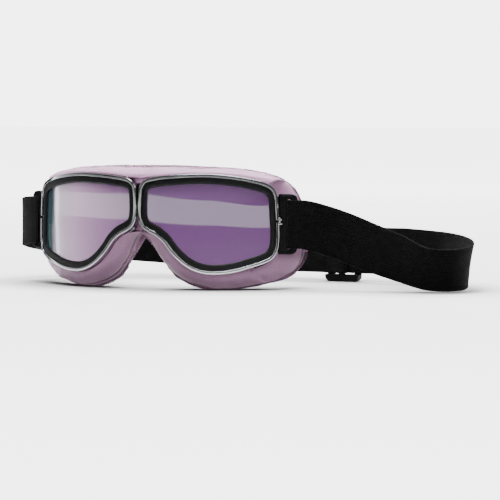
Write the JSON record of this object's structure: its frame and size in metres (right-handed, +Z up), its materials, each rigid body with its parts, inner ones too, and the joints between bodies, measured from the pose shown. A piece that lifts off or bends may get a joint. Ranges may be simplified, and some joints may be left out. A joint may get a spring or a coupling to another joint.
{
  "type": "riding goggles",
  "caption": "Vintage riding goggles: hinged metal-rimmed curved lenses on a padded leather face mask, with an adjustable webbing strap.",
  "frame": {"origin": "on the surface that the goggles stand on, under the middle of the whole object, strap included", "axes": "+X towards the wearer's left, where the strap's loop end lies; -Y out of the front of the lenses; +Z up"},
  "size_m": [0.3074, 0.1228, 0.0761],
  "materials": {
    "chrome": "bright plated metal",
    "rubber": "satin moulded rubber",
    "mirror_lens": "polished lens with a violet and green mirror coating",
    "black_plastic": "satin moulded plastic",
    "leather": "fine grained, pale violet pink",
    "foam": "soft open foam with a knitted face",
    "thread": "overlock stitching in thick thread",
    "webbing": "woven elastic webbing"
  },
  "bodies": {
    "left_half": {"left_rim": "chrome", "left_clamp_screw": "chrome", "left_clamp_nut": "chrome", "left_gasket": "rubber", "left_lens": "mirror_lens", "left_back_frame": "black_plastic", "left_hinge_leaf": "chrome", "left_mask": "leather", "left_foam_pad": "foam", "left_edge_stitching": "thread", "hinge_pin": "chrome", "bridge_leather": "leather", "bridge_foam": "foam", "bridge_stitching": "thread", "arch_stitching": "thread", "strap_near": "webbing", "strap_far": "webbing", "strap_adjuster": "webbing"},
    "right_half": {"right_rim": "chrome", "right_clamp_screw": "chrome", "right_clamp_nut": "chrome", "right_gasket": "rubber", "right_lens": "mirror_lens", "right_back_frame": "black_plastic", "right_hinge_leaf": "chrome", "right_mask": "leather", "right_foam_pad": "foam", "right_edge_stitching": "thread"},
    "slider_body": {"slider": "black_plastic"}
  },
  "joints": [
    {"name": "bridge_fold", "type": "hinge", "parent": "left_half", "child": "right_half", "pos_m": [-0.04578, -0.05393, 0.05658], "axis": [0, -0.0209, -0.9998], "range_deg": [-4, 75], "deforming": ["bridge_leather", "bridge_foam", "bridge_stitching", "arch_stitching", "strap_far", "strap_adjuster"]},
    {"name": "slider_slide", "type": "slide", "parent": "left_half", "child": "slider_body", "axis": [-0.9962, 0.0872, 0], "range_m": [-0.02, 0.02], "deforming": ["strap_adjuster"]}
  ]
}
